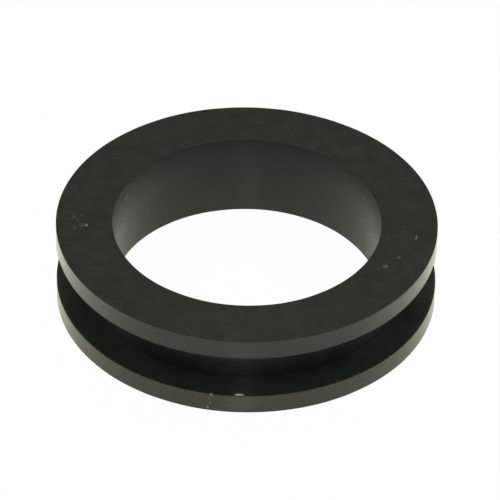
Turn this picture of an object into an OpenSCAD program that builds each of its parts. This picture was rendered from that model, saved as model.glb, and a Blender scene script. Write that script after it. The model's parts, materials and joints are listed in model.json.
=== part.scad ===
// Moulded rubber panel grommet: a short, thick ring with a straight bore. A
// square-cut groove runs around its outside, between two flat flanges, and
// takes the edge of the panel hole that the ring lines.
// Millimetres. Z is the axis of the bore. The origin is on that axis, in the
// plane of the bottom face, and the top face looks along +Z.

/* [Ring] */
// Outer diameter of both flanges
flange_d = 54; // [48:0.5:70]
// Diameter of the straight bore that a cable, hose or pipe passes through
bore_d = 38; // [20:0.5:43]

/* [Panel groove] */
// Diameter of the groove's floor, which is that of the panel hole
groove_d = 45; // [41:0.5:51]
// Width of the groove between the flanges, which is the panel's thickness
groove_w = 6.75; // [1.5:0.05:12]

/* [Flanges] */
// Thickness of the top flange
top_flange_t = 2.95; // [1.2:0.05:6]
// Thickness of the bottom flange
bottom_flange_t = 2.95; // [1.2:0.05:6]

/* [Edges] */
// Radius on the edges of the flanges and on both ends of the bore
edge_r = 0.1; // [0.05:0.05:0.5]
// Radius in the two inside corners of the groove
root_r = 0.1; // [0.05:0.05:0.7]

/* [Hidden] */

// Radii that the diameters give
flange_r = flange_d / 2;
bore_r = bore_d / 2;
groove_r = groove_d / 2;

// Heights of the groove's two side walls and of the top face
groove_bottom_z = bottom_flange_t;
groove_top_z = groove_bottom_z + groove_w;
height = groove_top_z + top_flange_t;

// Where the groove is cut, how far its cutter runs out past the flanges
cutter_overrun = 1;

// Facets of the ring, and of a full circle of an edge's radius
ring_facets = 180;
edge_facets = 48;

// Each outside edge of the section, with the diagonal into the rubber
outside_edges = [
    [[bore_r, 0], [1, 1]],
    [[bore_r, height], [1, -1]],
    [[flange_r, 0], [-1, 1]],
    [[flange_r, groove_bottom_z], [-1, -1]],
    [[flange_r, groove_top_z], [-1, 1]],
    [[flange_r, height], [-1, -1]]
];

// Each inside corner of the groove, with the diagonal into the open groove
inside_corners = [
    [[groove_r, groove_bottom_z], [1, 1]],
    [[groove_r, groove_top_z], [1, -1]]
];

// The sliver between a square corner and the arc that touches both its sides.
// Cut from the rubber it rounds an edge, and left in the groove it fills a
// corner.
module corner_sliver(corner, radius) {
    point = corner[0];
    diagonal = corner[1];
    difference() {
        translate(point + diagonal * radius / 2)
            square(radius, center = true);
        translate(point + diagonal * radius)
            circle(radius, $fn = edge_facets);
    }
}

// The groove's section, open past the flanges, with its filled corners
module groove_section() {
    difference() {
        translate([groove_r, groove_bottom_z])
            square([flange_r + cutter_overrun - groove_r, groove_w]);
        for (corner = inside_corners)
            corner_sliver(corner, root_r);
    }
}

// One half of the ring's section, at its true distance from the axis
module ring_section() {
    difference() {
        translate([bore_r, 0])
            square([flange_r - bore_r, height]);
        groove_section();
        for (corner = outside_edges)
            corner_sliver(corner, edge_r);
    }
}

// The whole grommet, moulded in one piece
module grommet() {
    color("#30302b")
        rotate_extrude($fn = ring_facets)
            ring_section();
}

grommet();
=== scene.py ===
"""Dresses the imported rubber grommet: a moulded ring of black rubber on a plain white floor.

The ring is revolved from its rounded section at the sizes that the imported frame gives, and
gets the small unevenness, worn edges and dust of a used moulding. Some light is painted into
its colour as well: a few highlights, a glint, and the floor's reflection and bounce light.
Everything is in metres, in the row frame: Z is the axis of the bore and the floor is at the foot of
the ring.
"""

from __future__ import annotations

import json
import logging
import math
from dataclasses import dataclass
from enum import Enum, auto

import bpy
import numpy as np
from mathutils import Matrix, Vector

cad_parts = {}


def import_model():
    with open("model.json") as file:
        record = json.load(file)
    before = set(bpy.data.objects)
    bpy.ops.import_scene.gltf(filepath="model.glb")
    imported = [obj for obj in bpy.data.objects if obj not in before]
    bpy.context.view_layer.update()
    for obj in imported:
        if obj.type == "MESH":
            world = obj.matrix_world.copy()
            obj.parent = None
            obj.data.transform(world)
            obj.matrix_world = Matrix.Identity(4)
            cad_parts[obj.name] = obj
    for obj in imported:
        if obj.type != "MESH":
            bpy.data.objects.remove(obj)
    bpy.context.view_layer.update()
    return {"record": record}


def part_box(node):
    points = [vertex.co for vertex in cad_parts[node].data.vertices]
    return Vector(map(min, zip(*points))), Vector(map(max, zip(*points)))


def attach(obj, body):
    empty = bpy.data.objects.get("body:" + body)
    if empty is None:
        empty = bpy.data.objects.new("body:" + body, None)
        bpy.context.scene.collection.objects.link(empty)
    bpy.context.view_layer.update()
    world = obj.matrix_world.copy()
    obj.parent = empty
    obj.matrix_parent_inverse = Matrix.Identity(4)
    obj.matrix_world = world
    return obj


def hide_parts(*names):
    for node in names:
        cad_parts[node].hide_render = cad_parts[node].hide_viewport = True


LOG = logging.getLogger("grommet")
MM = 0.001
NODE = "grommet"
PIECE = "moulded_ring"
BODY = "root"
DULL = "dull"
DUST_AND_PAINTED_LIGHT = "dust"
BLOOM = "bloom"
LAMPLIGHT = "#FBFFEA"


def srgb_to_linear(code: str) -> tuple[float, float, float, float]:
    """Turns a colour written as sRGB hex into the linear colour that shaders take.

    Args:
        code: The colour, such as "#2A2A27".

    Returns:
        Red, green, blue and an alpha of 1, linear.
    """
    channels = [int(code.lstrip("#")[i:i + 2], 16) / 255 for i in (0, 2, 4)]
    linear = [c / 12.92 if c <= 0.04045 else ((c + 0.055) / 1.055) ** 2.4 for c in channels]
    return (*linear, 1.0)


def add_node(tree: bpy.types.NodeTree, kind: str, settings: dict | None = None,
             links: dict | None = None) -> bpy.types.Node:
    """Adds a shader node with its settings and its incoming links.

    Args:
        tree: The node tree that gets the node.
        kind: Blender's name for the node, without "ShaderNode".
        settings: Values by name. A name that is an input socket, or its number, sets the
            socket, and any other name sets the node's own property.
        links: Output sockets by the name or number of the input that each one feeds.

    Returns:
        The new node.
    """
    node = tree.nodes.new("ShaderNode" + kind)
    for name, value in (settings or {}).items():
        if isinstance(name, int) or name in node.inputs:
            node.inputs[name].default_value = value
        else:
            setattr(node, name, value)
    for name, output in (links or {}).items():
        tree.links.new(output, node.inputs[name])
    return node


# ---------------------------------------------------------------------------
# The ring's sizes and section
# ---------------------------------------------------------------------------


@dataclass(frozen=True)
class RingSizes:
    """The ring's sizes in metres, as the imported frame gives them."""

    flange_radius: float
    bore_radius: float
    groove_radius: float
    groove_low: float
    groove_high: float
    foot: float
    top: float
    edge_radius: float
    root_radius: float = 0.1 * MM

    @classmethod
    def from_frame(cls, record: dict) -> RingSizes:
        """Reads the sizes from the node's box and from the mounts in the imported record.

        Args:
            record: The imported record.

        Returns:
            The sizes.
        """
        low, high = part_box(NODE)
        mounts = {mount["name"]: mount for mount in record["mounts"]}
        bore = mounts["cable_bore"]["dims"]
        groove = mounts["panel_groove"]
        middle = groove["pos_m"][2]
        half_width = groove["dims"]["length_mm"] * MM / 2
        return cls(
            flange_radius=high.x,
            bore_radius=bore["r_mm"] * MM,
            groove_radius=groove["dims"]["r_mm"] * MM,
            groove_low=middle - half_width,
            groove_high=middle + half_width,
            foot=low.z,
            top=high.z,
            edge_radius=(high.z - low.z - bore["length_mm"] * MM) / 2,
        )


@dataclass(frozen=True)
class Corner:
    """One corner of the section: its place, and the radius that rounds it.

    outside is true for a corner that points away from the rubber, so that it can be worn.
    """

    radius: float
    height: float
    rounding: float
    outside: bool = True


@dataclass(frozen=True)
class SurfaceWearAndPaintedLight:
    """How scuffed, dusted and bloomed each part of the ring is, as shares, with painted light in the
    dust.

    Dust is a pale film from outside, and bloom the rubber's own grey haze. bore_scuff_rise
    and bore_film_fall are the powers by which those two change up the bore. rim_reach and
    mouth_reach are how far in the rims' and the bore's wear reach over the flat faces, and
    bore_skin is how near to the bore's radius a point has to be to lie in the bore.
    """

    sizes: RingSizes
    corner_scuff: float = 0.6
    bore_scuff: float = 0.48
    bore_scuff_rise: float = 2.5
    groove_wall_scuff: float = 0.11
    groove_side_polish: float = 0.08
    # On the lower rim the dust share is partly dust and partly the bright floor's reflection,
    # painted in
    lower_rim_dust_and_painted_reflection: float = 0.97
    upper_rim_dust: float = 0.03
    # On the top face the dust share is partly dust and partly a painted sheen, in place of the
    # room's reflection
    top_dust_and_painted_sheen: float = 0.25
    # Down the bore the dust share is partly dust and partly the floor's bounce light painted in,
    # paler towards the foot
    bore_foot_dust_and_painted_light: float = 0.32
    bore_film_fall: float = 1.6
    top_bloom: float = 0.020
    groove_side_bloom: float = 0.042
    groove_wall_bloom: float = 0.017
    rim_reach: float = 0.4 * MM
    mouth_reach: float = 0.2 * MM
    bore_skin: float = 0.01 * MM

    def scuff(self, outline: np.ndarray, on_corner: np.ndarray) -> np.ndarray:
        """Says how far each part of the section has lost its polish.

        Args:
            outline: The section's points as (radius, height).
            on_corner: True for each point on a rounded outside corner.

        Returns:
            A share for each point: most on the corners, rising towards the mouth of the
            bore, where cables rub, and below 0 on the groove's sides, which nothing rubs.
        """
        s = self.sizes
        radius, height = outline[:, 0], outline[:, 1]
        in_bore = radius < s.bore_radius + self.bore_skin
        on_wall = radius < s.groove_radius + s.root_radius
        on_side = ((radius < s.flange_radius - self.mouth_reach)
                   & (height > s.groove_low - s.edge_radius)
                   & (height < s.groove_high + s.edge_radius))
        rising = self.bore_scuff * self.up(height) ** self.bore_scuff_rise
        return np.select([on_corner, in_bore, on_side & on_wall, on_side],
                         [self.corner_scuff, rising, self.groove_wall_scuff,
                          -self.groove_side_polish], 0.0)

    def dust(self, outline: np.ndarray) -> np.ndarray:
        """Says how much pale film each part of the section has: dust, and in places painted light.

        Args:
            outline: The section's points as (radius, height).

        Returns:
            A share for each point: most on the lower rim, which stands on the bench, where it is
            partly dust and partly the bright floor's reflection painted in. On the top face it is
            partly a painted sheen, and down the bore it is partly the floor's bounce light painted
            in, paler towards the foot and least in the upper part of the bore.
        """
        s = self.sizes
        radius, height = outline[:, 0], outline[:, 1]
        on_rim = radius > s.flange_radius - self.rim_reach
        in_bore = radius < s.bore_radius + self.mouth_reach
        lower = height < s.groove_low + s.root_radius
        falling = self.bore_foot_dust_and_painted_light * (1 - self.up(height)) ** self.bore_film_fall
        return np.select([self.on_top(outline), on_rim & lower, on_rim, in_bore],
                         [self.top_dust_and_painted_sheen, self.lower_rim_dust_and_painted_reflection, self.upper_rim_dust, falling],
                         0.0)

    def bloom(self, outline: np.ndarray) -> np.ndarray:
        """Says how much of the rubber's own grey bloom each part of the section has kept.

        Args:
            outline: The section's points as (radius, height).

        Returns:
            A share for each point: most in the groove, where nothing wipes it off.
        """
        s = self.sizes
        radius, height = outline[:, 0], outline[:, 1]
        in_groove = ((radius > s.groove_radius - s.root_radius)
                     & (radius < s.flange_radius - self.rim_reach)
                     & (height > s.groove_low - s.root_radius)
                     & (height < s.groove_high + s.root_radius))
        on_wall = radius < s.groove_radius + s.root_radius
        return np.select([self.on_top(outline), in_groove & on_wall, in_groove],
                         [self.top_bloom, self.groove_wall_bloom, self.groove_side_bloom], 0.0)

    def up(self, height: np.ndarray) -> np.ndarray:
        """Turns heights into shares of the ring's height, from 0 at its foot."""
        return np.clip((height - self.sizes.foot) / (self.sizes.top - self.sizes.foot), 0, 1)

    def on_top(self, outline: np.ndarray) -> np.ndarray:
        """Picks the section's points on the flat top face.

        Args:
            outline: The section's points as (radius, height).

        Returns:
            True for each point on the top face, short of its rounded edges.
        """
        s = self.sizes
        radius, height = outline[:, 0], outline[:, 1]
        margin = s.edge_radius / 2
        return ((height > s.top - margin) & (radius > s.bore_radius + margin)
                & (radius < s.flange_radius - margin))


@dataclass(frozen=True)
class RubberRing:
    """The grommet itself: one moulded ring.

    The real edges look sharper than the solids' own roundings, so edge_crispness and
    root_crispness are the shares of these that are drawn. A corner's dullness fades out over
    fade_upright of an upright side and fade_level of a level one. out_of_true is the most
    that the moulding's surface lies inside the solids' own.
    """

    sizes: RingSizes
    segments: int = 480
    arc_steps: int = 7
    side_step: float = 0.42 * MM
    edge_crispness: float = 0.3
    root_crispness: float = 0.06
    fade_upright: float = 0.25 * MM
    fade_level: float = 0.03 * MM
    out_of_true: float = 0.03 * MM

    def corners(self) -> list[Corner]:
        """Lists the section's corners.

        Returns:
            The eight corners, in order round the section.
        """
        s = self.sizes
        edge = self.edge_crispness * s.edge_radius
        root = self.root_crispness * s.root_radius
        return [
            Corner(s.bore_radius, s.foot, edge),
            Corner(s.flange_radius, s.foot, edge),
            Corner(s.flange_radius, s.groove_low, edge),
            Corner(s.groove_radius, s.groove_low, root, outside=False),
            Corner(s.groove_radius, s.groove_high, root, outside=False),
            Corner(s.flange_radius, s.groove_high, edge),
            Corner(s.flange_radius, s.top, edge),
            Corner(s.bore_radius, s.top, edge),
        ]

    def section(self) -> tuple[np.ndarray, np.ndarray]:
        """Rounds the corners and divides the sides between them.

        Returns:
            The outline's points as (radius, height), and for each point whether it lies
            on a rounded outside corner.
        """
        corners = self.corners()
        points: list[tuple[float, float]] = []
        on_corner: list[bool] = []
        for index, corner in enumerate(corners):
            before = np.array([corners[index - 1].radius, corners[index - 1].height])
            after_corner = corners[(index + 1) % len(corners)]
            after = np.array([after_corner.radius, after_corner.height])
            here = np.array([corner.radius, corner.height])
            way_in = (here - before) / np.linalg.norm(here - before)
            way_out = (after - here) / np.linalg.norm(after - here)
            centre = here + corner.rounding * (way_out - way_in)
            for step in range(self.arc_steps + 1):
                angle = math.pi / 2 * step / self.arc_steps
                spoke = -way_out * math.cos(angle) + way_in * math.sin(angle)
                points.append(tuple(centre + corner.rounding * spoke))
                on_corner.append(corner.outside)
            fade = self.fade_upright if abs(way_out[1]) > 0.5 else self.fade_level
            start = here + (corner.rounding + fade) * way_out
            end = after - (after_corner.rounding + fade) * way_out
            steps = max(2, round(float(np.linalg.norm(end - start)) / self.side_step))
            for step in range(steps + 1):
                points.append(tuple(start + (end - start) * (step / steps)))
                on_corner.append(False)
        return np.array(points), np.array(on_corner)

    def build(self) -> bpy.types.Object:
        """Revolves the section into a closed mesh.

        Returns:
            The ring's object, in the row frame.
        """
        outline, on_corner = self.section()
        wear = SurfaceWearAndPaintedLight(self.sizes)
        shares = {DULL: wear.scuff(outline, on_corner), DUST_AND_PAINTED_LIGHT: wear.dust(outline),
                  BLOOM: wear.bloom(outline)}
        count = len(outline)
        turns = np.arange(self.segments) * (2 * math.pi / self.segments)
        radius = np.tile(outline[:, 0], self.segments)
        height = np.tile(outline[:, 1], self.segments)
        angle = np.repeat(turns, count)
        radius, height = self.unevenness(radius, height, angle)
        places = np.stack([radius * np.sin(angle), -radius * np.cos(angle), height], axis=1)
        ring = np.arange(self.segments)[:, None] * count
        next_ring = (np.arange(self.segments)[:, None] + 1) % self.segments * count
        here = np.arange(count)[None, :]
        there = (here + 1) % count
        faces = np.stack([ring + here, next_ring + here, next_ring + there, ring + there], axis=-1)
        mesh = bpy.data.meshes.new(PIECE)
        mesh.from_pydata(places.tolist(), [], faces.reshape(-1, 4).tolist())
        mesh.validate()
        mesh.update()
        mesh.shade_smooth()
        for name, values in shares.items():
            attribute = mesh.attributes.new(name, "FLOAT", "POINT")
            attribute.data.foreach_set("value", np.tile(values, self.segments).astype(np.float32))
        piece = bpy.data.objects.new(PIECE, mesh)
        bpy.context.scene.collection.objects.link(piece)
        return piece

    def dress(self, piece: bpy.types.Object) -> None:
        """Gives the ring its rubber and its place in the frame.

        Args:
            piece: The ring's object.
        """
        piece.data.materials.append(MouldedRubber().material(self.sizes))
        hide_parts(NODE)
        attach(piece, BODY)

    def unevenness(self, radius: np.ndarray, height: np.ndarray,
                   angle: np.ndarray) -> tuple[np.ndarray, np.ndarray]:
        """Draws the surface in by the few hundredths of a millimetre that a moulding is out of true.

        Args:
            radius: Each point's distance from the axis.
            height: Each point's height.
            angle: Each point's direction round the axis.

        Returns:
            The new distances and heights.
        """
        s = self.sizes
        middle_radius = (s.bore_radius + s.flange_radius) / 2
        middle_height = (s.foot + s.top) / 2
        outward = np.clip((radius - middle_radius) / (s.flange_radius - middle_radius), -1, 1)
        upward = np.clip((height - middle_height) / (s.top - middle_height), -1, 1)
        # Slow waves and quicker ones round the ring, in whole numbers, so that it closes
        slow = 0.5 + 0.3 * np.sin(5 * angle + 0.7) + 0.2 * np.sin(11 * angle + 2.1 + 2 * upward)
        quick = 0.5 + 0.3 * np.sin(29 * angle + 1.3) + 0.2 * np.sin(47 * angle + 4 * outward)
        shrink = self.out_of_true * (0.75 * slow + 0.25 * quick)
        return radius - outward * shrink, height - upward * shrink


# ---------------------------------------------------------------------------
# Finishes
# ---------------------------------------------------------------------------


class Face(Enum):
    """The faces of the ring that carry marks."""

    TOP = auto()
    BORE = auto()
    RIM = auto()
    LOWER_FLANGE = auto()


@dataclass(frozen=True)
class Mark:
    """A pale mark: dust, lint, scuffed rubber, or a highlight painted in as pale colour.

    turn is its direction in degrees round the axis, from the front towards +X. place is
    its distance from the axis on the flat faces, and its height on the bore and the rims.
    length runs round the ring and width across it, in metres.
    """

    face: Face
    turn: float
    place: float
    length: float
    width: float
    strength: float

    def centre(self, sizes: RingSizes) -> tuple[float, float, float]:
        """Gives the mark's place as (angle, radius, height).

        Args:
            sizes: The ring's sizes.

        Returns:
            The angle in radians, and the radius and height in metres.
        """
        angle = math.radians(self.turn)
        if self.face is Face.TOP:
            return angle, self.place, sizes.top
        if self.face is Face.LOWER_FLANGE:
            return angle, self.place, sizes.groove_low
        if self.face is Face.BORE:
            return angle, sizes.bore_radius, self.place
        return angle, sizes.flange_radius, self.place


MARKS_AND_HIGHLIGHTS = (
    # Lint and dust on the top face: a bright speck and its faint neighbours on the left,
    # a short fibre and two specks on the right
    Mark(Face.TOP, -86.0, 22.7 * MM, 0.6 * MM, 0.5 * MM, 0.26),
    Mark(Face.TOP, -86.2, 23.2 * MM, 0.9 * MM, 1.3 * MM, 0.04),
    Mark(Face.TOP, -90.8, 24.4 * MM, 0.7 * MM, 0.6 * MM, 0.05),
    Mark(Face.TOP, -89.0, 23.9 * MM, 0.5 * MM, 0.5 * MM, 0.045),
    Mark(Face.TOP, -91.8, 23.3 * MM, 0.6 * MM, 0.5 * MM, 0.045),
    Mark(Face.TOP, -84.9, 24.4 * MM, 0.8 * MM, 0.6 * MM, 0.04),
    Mark(Face.TOP, 82.3, 24.1 * MM, 1.3 * MM, 0.32 * MM, 0.18),
    Mark(Face.TOP, 69.8, 22.7 * MM, 0.6 * MM, 0.6 * MM, 0.11),
    Mark(Face.TOP, 63.0, 21.8 * MM, 0.9 * MM, 0.75 * MM, 0.12),
    # A faint scratch behind them, and a painted highlight across the front: a soft pale cloud that
    # stands in for the front lamp's sheen
    Mark(Face.TOP, 138.0, 23.6 * MM, 0.5 * MM, 2.0 * MM, 0.015),
    Mark(Face.TOP, 0.0, 23.0 * MM, 27.0 * MM, 13.0 * MM, 0.010),
    # Specks in the bore: one near the top on the left, and two softer ones at the back
    Mark(Face.BORE, -114.7, 10.2 * MM, 1.4 * MM, 1.1 * MM, 0.08),
    Mark(Face.BORE, 165.0, 7.2 * MM, 0.7 * MM, 0.9 * MM, 0.014),
    Mark(Face.BORE, 118.9, 10.1 * MM, 1.3 * MM, 0.9 * MM, 0.025),
    # A painted highlight: the back of the bore a shade paler from top to bottom, where the front
    # lamp's reflection runs. The angle starts again there, so the mark is given once for each side
    Mark(Face.BORE, -178.5, 6.0 * MM, 5.5 * MM, 12.8 * MM, 0.009),
    Mark(Face.BORE, 181.5, 6.0 * MM, 5.5 * MM, 12.8 * MM, 0.009),
    # A column of flecks on the lower rim, left of the middle
    Mark(Face.RIM, -9.8, 2.9 * MM, 0.4 * MM, 0.5 * MM, 0.35),
    Mark(Face.RIM, -10.4, 2.1 * MM, 0.3 * MM, 0.4 * MM, 0.12),
    Mark(Face.RIM, -10.1, 1.3 * MM, 0.35 * MM, 0.5 * MM, 0.12),
    Mark(Face.RIM, -10.8, 0.5 * MM, 0.5 * MM, 0.5 * MM, 0.25),
    # A painted highlight: the front of the lower rim a little paler below a shred of flash, where
    # the front lamp's reflection runs
    Mark(Face.RIM, -0.8, 1.7 * MM, 5.0 * MM, 3.6 * MM, 0.030),
    # That shred of flash on the lower flange's upper edge, its glint painted in as a bright pale
    # mark
    Mark(Face.LOWER_FLANGE, -1.4, 26.7 * MM, 1.4 * MM, 0.42 * MM, 1.0),
)


@dataclass(frozen=True)
class MouldedRubber:
    """Carbon-black EPDM rubber, pressed in a turned steel mould.

    colour is the compound's black, film the pale brown-grey dust on it, which in places also
    paints light, bloom the rubber's own green-grey haze, and lint the pale colour of the specks
    and shreds, and of the painted highlights and glint. The eye gets a satin black with a soft
    sheen, a little mottled, with a fine grain. Patterns have their real sizes, but for the grain.
    A spread is how far a value goes either way, between a noise's low and high.
    """

    colour: str = "#101112"
    film: str = "#938D66"
    bloom: str = "#A6BDB6"
    lint_and_highlight: str = "#E4E6E6"
    roughness: float = 0.24
    ior: float = 1.5
    film_share: float = 0.10
    cloud_size: float = 2.6 * MM
    cloud_low: float = 0.3
    cloud_high: float = 0.7
    cloud_spread: float = 0.25
    speckle_size: float = 0.35 * MM
    speckle_low: float = 0.35
    speckle_high: float = 0.65
    speckle_spread: float = 0.4
    # Real rubber grain is about a tenth of a millimetre. It is drawn coarser, so that it
    # still shows from a normal distance
    grain_size: float = 0.34 * MM
    grain_height: float = 0.0022 * MM
    ring_pitch: float = 0.45 * MM
    ring_height: float = 0.0016 * MM
    ring_drift: float = 0.02
    roughness_spread: float = 0.03
    dullness: float = 0.7
    # A mark is at full strength out to the first share of its half size, and ends at the second
    mark_core: float = 0.4
    mark_end: float = 1.3
    ragged: float = 0.35 * MM
    # A sparse, fine dust brightens where the surface turns away from the eye
    dust_sheen: float = 0.15
    dust_sheen_spread: float = 0.4

    def material(self, sizes: RingSizes) -> bpy.types.Material:
        """Builds the material.

        Args:
            sizes: The ring's sizes, which place the marks.

        Returns:
            The rubber's material.
        """
        material = bpy.data.materials.new("moulded black EPDM rubber")
        material.use_nodes = True
        tree = material.node_tree
        tree.nodes.clear()
        place = add_node(tree, "TexCoord").outputs["Object"]
        polar = self.polar(tree, place)
        clouds = add_node(tree, "TexNoise", {"Scale": 1 / self.cloud_size, "Detail": 3.0,
                                             "Roughness": 0.6}, {"Vector": place})
        # Clouds and speckles of dust, painted light and bloom take the evenness out of the black
        # The dust share also carries painted light: the floor's reflection on the lower rim, a sheen
        # on the top face, and the floor's bounce light down the bore
        dust = add_node(tree, "Attribute", {"attribute_name": DUST_AND_PAINTED_LIGHT})
        cloudy = add_node(tree, "MapRange", {
            "From Min": self.cloud_low, "From Max": self.cloud_high,
            "To Min": 1 - self.cloud_spread, "To Max": 1 + self.cloud_spread}, {
            "Value": clouds.outputs[0]})
        speckles = add_node(tree, "TexNoise", {"Scale": 1 / self.speckle_size, "Detail": 2.0},
                            {"Vector": place})
        speckled = add_node(tree, "MapRange", {
            "From Min": self.speckle_low, "From Max": self.speckle_high,
            "To Min": 1 - self.speckle_spread, "To Max": 1 + self.speckle_spread}, {
            "Value": speckles.outputs[0]})
        film = add_node(tree, "Math", {"operation": "MULTIPLY"}, {
            0: dust.outputs["Fac"], 1: cloudy.outputs[0]})
        film = add_node(tree, "Math", {"operation": "MULTIPLY"}, {
            0: film.outputs[0], 1: speckled.outputs[0]})
        film = add_node(tree, "Math", {"operation": "MULTIPLY", 1: self.film_share}, {
            0: film.outputs[0]})
        bloom = add_node(tree, "Attribute", {"attribute_name": BLOOM})
        bloom = add_node(tree, "Math", {"operation": "MULTIPLY"}, {
            0: bloom.outputs["Fac"], 1: cloudy.outputs[0]})
        bloomed = add_node(tree, "Mix", {"data_type": "RGBA", 6: srgb_to_linear(self.colour),
                                         7: srgb_to_linear(self.bloom)}, {0: bloom.outputs[0]})
        dusty_and_painted_light = add_node(tree, "Mix", {"data_type": "RGBA", 7: srgb_to_linear(self.film)}, {
            0: film.outputs[0], 6: bloomed.outputs[2]})
        # The marks' outlines are made ragged by moving the place a little
        astray = add_node(tree, "VectorMath", {"operation": "MULTIPLY_ADD",
                                               1: (0, self.ragged, self.ragged)}, {
            0: speckles.outputs["Color"], 2: polar})
        centred = add_node(tree, "VectorMath", {
            "operation": "SUBTRACT", 1: (0, self.ragged / 2, self.ragged / 2)}, {
            0: astray.outputs[0]})
        marks = self.marks(tree, centred.outputs[0], sizes)
        # The marks' pale colour: lint and specks, and a few painted highlights and a painted glint
        marked = add_node(tree, "Mix", {"data_type": "RGBA", 7: srgb_to_linear(self.lint_and_highlight)}, {
            0: marks, 6: dusty_and_painted_light.outputs[2]})
        # Where hands and bench rubbed it, the satin is a little duller or brighter
        satin = add_node(tree, "MapRange", {
            "From Min": self.cloud_low, "From Max": self.cloud_high,
            "To Min": self.roughness - self.roughness_spread,
            "To Max": self.roughness + self.roughness_spread}, {"Value": clouds.outputs[0]})
        # The mould's polish stops at its corners, and the bore's mouth is scuffed matt
        worn = add_node(tree, "Attribute", {"attribute_name": DULL})
        dull = add_node(tree, "Math", {"operation": "MULTIPLY_ADD", 1: self.dullness}, {
            0: worn.outputs["Fac"], 2: satin.outputs[0]})
        shader = add_node(tree, "BsdfPrincipled", {
            "IOR": self.ior, "Sheen Weight": self.dust_sheen,
            "Sheen Roughness": self.dust_sheen_spread,
            "Sheen Tint": srgb_to_linear(self.film)}, {
            "Base Color": marked.outputs[2], "Roughness": dull.outputs[0],
            "Normal": self.relief(tree, place, polar)})
        add_node(tree, "OutputMaterial", links={"Surface": shader.outputs[0]})
        return material

    @staticmethod
    def polar(tree: bpy.types.NodeTree,
              place: bpy.types.NodeSocket) -> bpy.types.NodeSocket:
        """Turns a place into (angle, radius, height) round the ring's axis.

        Args:
            tree: The material's node tree.
            place: The place as (x, y, z).

        Returns:
            The polar place: radians from the front towards +X, and metres.
        """
        axes = add_node(tree, "SeparateXYZ", links={0: place})
        front = add_node(tree, "Math", {"operation": "MULTIPLY", 1: -1.0}, {
            0: axes.outputs["Y"]})
        angle = add_node(tree, "Math", {"operation": "ARCTAN2"}, {
            0: axes.outputs["X"], 1: front.outputs[0]})
        flat = add_node(tree, "VectorMath", {"operation": "MULTIPLY", 1: (1, 1, 0)}, {0: place})
        radius = add_node(tree, "VectorMath", {"operation": "LENGTH"}, {0: flat.outputs[0]})
        return add_node(tree, "CombineXYZ", links={
            0: angle.outputs[0], 1: radius.outputs["Value"], 2: axes.outputs["Z"]}).outputs[0]

    def marks(self, tree: bpy.types.NodeTree, polar: bpy.types.NodeSocket,
              sizes: RingSizes) -> bpy.types.NodeSocket:
        """Draws the soft-edged ovals of the marks.

        Args:
            tree: The material's node tree.
            polar: The polar place.
            sizes: The ring's sizes.

        Returns:
            How much of the marks' pale colour shows, from 0 to 1.
        """
        total = None
        for mark in MARKS_AND_HIGHLIGHTS:
            centre = Vector(mark.centre(sizes))
            scale = Vector((centre.y / mark.length, 1 / mark.width, 1 / mark.width)) * 2
            away = Vector(-c * s for c, s in zip(centre, scale))
            offset = add_node(tree, "VectorMath", {"operation": "MULTIPLY_ADD", 1: scale,
                                                   2: away}, {0: polar})
            reach = add_node(tree, "VectorMath", {"operation": "LENGTH"}, {0: offset.outputs[0]})
            oval = add_node(tree, "MapRange", {
                "interpolation_type": "SMOOTHSTEP", "From Min": self.mark_core,
                "From Max": self.mark_end, "To Min": mark.strength, "To Max": 0.0}, {
                "Value": reach.outputs["Value"]})
            if total is None:
                total = oval.outputs[0]
            else:
                total = add_node(tree, "Math", {"operation": "MAXIMUM"}, {
                    0: total, 1: oval.outputs[0]}).outputs[0]
        return total

    def relief(self, tree: bpy.types.NodeTree, place: bpy.types.NodeSocket,
               polar: bpy.types.NodeSocket) -> bpy.types.NodeSocket:
        """Gives the surface its grain and the fine rings that the turned mould leaves.

        Args:
            tree: The material's node tree.
            place: The place as (x, y, z).
            polar: The polar place.

        Returns:
            The normal.
        """
        grain = add_node(tree, "TexNoise", {"Scale": 1 / self.grain_size, "Detail": 2.0},
                         {"Vector": place})
        # The rings change with radius and height, and hardly at all on the way round
        axes = add_node(tree, "SeparateXYZ", links={0: place})
        across = add_node(tree, "Math", {"operation": "MULTIPLY", 1: self.ring_drift}, {
            0: axes.outputs["X"]})
        parts = add_node(tree, "SeparateXYZ", links={0: polar})
        lay = add_node(tree, "CombineXYZ", links={
            0: across.outputs[0], 1: parts.outputs["Y"], 2: parts.outputs["Z"]})
        rings = add_node(tree, "TexNoise", {"Scale": 1 / self.ring_pitch, "Detail": 2.0},
                         {"Vector": lay.outputs[0]})
        grain = add_node(tree, "Math", {"operation": "MULTIPLY", 1: self.grain_height}, {
            0: grain.outputs[0]})
        height = add_node(tree, "Math", {"operation": "MULTIPLY_ADD", 1: self.ring_height}, {
            0: rings.outputs[0], 2: grain.outputs[0]})
        return add_node(tree, "Bump", {"Strength": 1.0, "Distance": 1.0}, {
            "Height": height.outputs[0]}).outputs[0]


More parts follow.
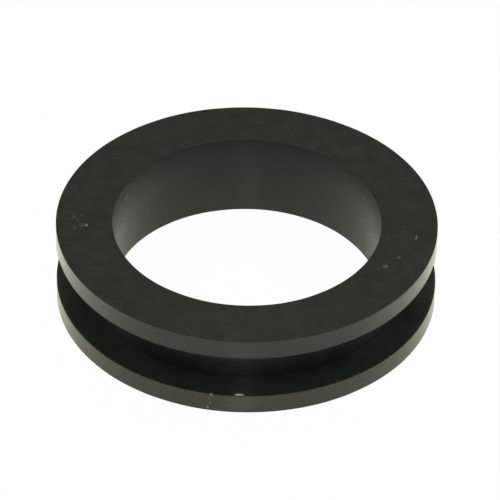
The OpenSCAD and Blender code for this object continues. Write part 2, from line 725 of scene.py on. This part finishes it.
@dataclass(frozen=True)
class WhiteSweep:
    """A glossy white board that shows as white and still keeps the ring's soft shadow.

    plain_share is how much of it shows as plain white. What the ring mirrors of it glows by
    mirrored_share, less within shaded_reach of the shadow's middle and within the bore.
    """

    colour: str = "#F6F6F4"
    roughness: float = 0.2
    ior: float = 1.7
    plain_share: float = 0.975
    mirrored_share: float = 0.52
    shade_forward: float = 20.0 * MM
    shaded_reach: float = 24.0 * MM
    shaded_glow: float = 1.5
    open_reach: float = 42.0 * MM
    open_glow: float = 2.5
    bore_reach: float = 19.0 * MM
    rim_reach: float = 26.0 * MM
    bore_glow_share: float = 0.58

    def material(self) -> bpy.types.Material:
        """Builds the material.

        Returns:
            The floor's material.
        """
        material = bpy.data.materials.new("glossy white board")
        material.use_nodes = True
        tree = material.node_tree
        tree.nodes.clear()
        board = add_node(tree, "BsdfPrincipled", {
            "Base Color": srgb_to_linear(self.colour), "Roughness": self.roughness,
            "IOR": self.ior})
        white = add_node(tree, "Emission", {"Color": (1, 1, 1, 1), "Strength": 1.0})
        path = add_node(tree, "LightPath")
        plain = add_node(tree, "Math", {"operation": "MAXIMUM"}, {
            0: path.outputs["Is Camera Ray"], 1: path.outputs["Is Transmission Ray"]})
        plain = add_node(tree, "Math", {"operation": "MULTIPLY", 1: self.plain_share}, {
            0: plain.outputs[0]})
        mirrored = add_node(tree, "Math", {"operation": "MULTIPLY", 1: self.mirrored_share}, {
            0: path.outputs["Is Glossy Ray"]})
        # The ring's soft shadow falls forwards, so the glow that the ring mirrors is dimmer there
        place = add_node(tree, "TexCoord").outputs["Object"]
        away = add_node(tree, "VectorMath", {
            "operation": "DISTANCE", 1: (0, -self.shade_forward, 0)}, {0: place})
        strength = add_node(tree, "MapRange", {
            "From Min": self.shaded_reach, "From Max": self.open_reach,
            "To Min": self.shaded_glow, "To Max": self.open_glow}, {
            "Value": away.outputs["Value"]})
        # Within the bore it is dimmer still
        from_axis = add_node(tree, "VectorMath", {"operation": "LENGTH"}, {0: place})
        inside = add_node(tree, "MapRange", {
            "From Min": self.bore_reach, "From Max": self.rim_reach,
            "To Min": self.bore_glow_share, "To Max": 1.0}, {"Value": from_axis.outputs["Value"]})
        strength = add_node(tree, "Math", {"operation": "MULTIPLY"}, {
            0: strength.outputs[0], 1: inside.outputs[0]})
        glow = add_node(tree, "Emission", {"Color": srgb_to_linear(LAMPLIGHT)}, {
            "Strength": strength.outputs[0]})
        in_mirror = add_node(tree, "MixShader", links={
            0: mirrored.outputs[0], 1: board.outputs[0], 2: glow.outputs[0]})
        mixed = add_node(tree, "MixShader", links={
            0: plain.outputs[0], 1: in_mirror.outputs[0], 2: white.outputs[0]})
        add_node(tree, "OutputMaterial", links={"Surface": mixed.outputs[0]})
        return material


# ---------------------------------------------------------------------------
# Stage
# ---------------------------------------------------------------------------


@dataclass(frozen=True)
class Softbox:
    """A soft rectangular lamp, aimed at the ring.

    azimuth runs in degrees from the front towards +X, and elevation up from the floor.
    """

    name: str
    azimuth: float
    elevation: float
    distance: float
    width: float
    height: float
    radiance: float

    def build(self, target: Vector) -> bpy.types.Object:
        """Makes the lamp.

        Args:
            target: The point that the lamp faces.

        Returns:
            The lamp's object.
        """
        light = bpy.data.lights.new(self.name, "AREA")
        light.shape = "RECTANGLE"
        light.size = self.width
        light.size_y = self.height
        light.energy = self.radiance * math.pi * self.width * self.height
        light.color = srgb_to_linear(LAMPLIGHT)[:3]
        lamp = bpy.data.objects.new(self.name, light)
        turn, rise = math.radians(self.azimuth), math.radians(self.elevation)
        towards = Vector((math.sin(turn) * math.cos(rise), -math.cos(turn) * math.cos(rise),
                          math.sin(rise)))
        lamp.location = target + towards * self.distance
        lamp.rotation_euler = towards.to_track_quat("Z", "Y").to_euler()
        lamp.visible_camera = False
        bpy.context.scene.collection.objects.link(lamp)
        return lamp


@dataclass(frozen=True)
class ViewCamera:
    """A long lens that looks down on the ring from the front."""

    elevation: float = 37.88
    distance: float = 0.648
    lens: float = 330.2
    sensor: float = 36.0
    roll: float = -0.93
    aim_right: float = 0.5 * MM
    aim_back: float = 1.36 * MM

    def build(self, sizes: RingSizes) -> bpy.types.Object:
        """Makes the camera and makes it the scene's own.

        Args:
            sizes: The ring's sizes, which place the camera and its aim.

        Returns:
            The camera's object.
        """
        data = bpy.data.cameras.new("view")
        data.sensor_width = self.sensor
        data.lens = self.lens
        camera = bpy.data.objects.new("view", data)
        rise = math.radians(self.elevation)
        back = Vector((0, -math.cos(rise), math.sin(rise)))
        place = Vector((0, 0, sizes.top)) + back * self.distance
        aim = Vector((self.aim_right, self.aim_back, (sizes.foot + sizes.top) / 2))
        look = (aim - place).to_track_quat("-Z", "Y").to_matrix().to_4x4()
        camera.matrix_world = (Matrix.Translation(place) @ look
                               @ Matrix.Rotation(math.radians(-self.roll), 4, "Z"))
        bpy.context.scene.collection.objects.link(camera)
        bpy.context.scene.camera = camera
        return camera


@dataclass(frozen=True)
class Studio:
    """The floor, the light and the camera round the ring.

    The rear lamps are large and dim, so that the top face mirrors them as an even, faint
    light from every side.
    """

    sizes: RingSizes
    floor_half_side: float = 3.0
    floor_gap: float = 0.01 * MM
    room_glow: float = 0.145
    horizon_glow: float = 0.86
    horizon_falloff: float = 4.3
    softboxes: tuple[Softbox, ...] = (
        Softbox("overhead_softbox", azimuth=2, elevation=60, distance=0.9,
                width=0.48, height=0.48, radiance=1.9),
        Softbox("front_softbox", azimuth=-1, elevation=38, distance=1.6,
                width=0.22, height=0.36, radiance=8.2),
        Softbox("rear_right_softbox", azimuth=125, elevation=30, distance=1.2,
                width=1.6, height=1.2, radiance=1.25),
        Softbox("rear_left_softbox", azimuth=-125, elevation=30, distance=1.2,
                width=1.6, height=1.2, radiance=0.90),
    )

    def floor(self) -> bpy.types.Object:
        """Makes the floor as a large square just below the ring's foot.

        Returns:
            The floor's object.
        """
        half = self.floor_half_side
        low = self.sizes.foot - self.floor_gap
        mesh = bpy.data.meshes.new("floor")
        mesh.from_pydata([(-half, -half, low), (half, -half, low), (half, half, low),
                          (-half, half, low)], [], [(0, 1, 2, 3)])
        floor = bpy.data.objects.new("floor", mesh)
        floor.data.materials.append(WhiteSweep().material())
        bpy.context.scene.collection.objects.link(floor)
        return floor

    def world(self) -> None:
        """Fills the room with a low glow that is brightest along the horizon."""
        world = bpy.data.worlds.new("studio")
        bpy.context.scene.world = world
        world.use_nodes = True
        tree = world.node_tree
        tree.nodes.clear()
        place = add_node(tree, "TexCoord")
        axes = add_node(tree, "SeparateXYZ", links={0: place.outputs["Generated"]})
        height = add_node(tree, "Math", {"operation": "SUBTRACT", 0: 1.0, "use_clamp": True}, {
            1: axes.outputs["Z"]})
        glow = add_node(tree, "Math", {"operation": "POWER", 1: self.horizon_falloff}, {
            0: height.outputs[0]})
        glow = add_node(tree, "Math", {"operation": "MULTIPLY_ADD", 1: self.horizon_glow,
                                       2: self.room_glow}, {0: glow.outputs[0]})
        room = add_node(tree, "Background", {"Color": srgb_to_linear(LAMPLIGHT)}, {
            "Strength": glow.outputs[0]})
        white = add_node(tree, "Background", {"Color": (1, 1, 1, 1), "Strength": 1.0})
        path = add_node(tree, "LightPath")
        plain = add_node(tree, "Math", {"operation": "MAXIMUM"}, {
            0: path.outputs["Is Camera Ray"], 1: path.outputs["Is Transmission Ray"]})
        mixed = add_node(tree, "MixShader", links={
            0: plain.outputs[0], 1: room.outputs[0], 2: white.outputs[0]})
        add_node(tree, "OutputWorld", links={"Surface": mixed.outputs[0]})

    def lamps(self) -> None:
        """Sets the softboxes round the ring, aimed at its middle."""
        target = Vector((0, 0, (self.sizes.foot + self.sizes.top) / 2))
        for lamp in self.softboxes:
            lamp.build(target)

    def build(self) -> None:
        """Builds the floor, the room's light, the lamps and the camera."""
        self.floor()
        self.world()
        self.lamps()
        ViewCamera().build(self.sizes)
        bpy.context.scene.view_settings.view_transform = "Standard"


def main() -> None:
    """Loads the frame, builds the ring on it and sets the stage."""
    logging.basicConfig(level=logging.INFO, format="%(name)s: %(message)s")
    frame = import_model()
    sizes = RingSizes.from_frame(frame["record"])
    ring = RubberRing(sizes)
    piece = ring.build()
    ring.dress(piece)
    LOG.info("%s: %d faces", piece.name, len(piece.data.polygons))
    Studio(sizes).build()


if __name__ == "__main__":
    main()
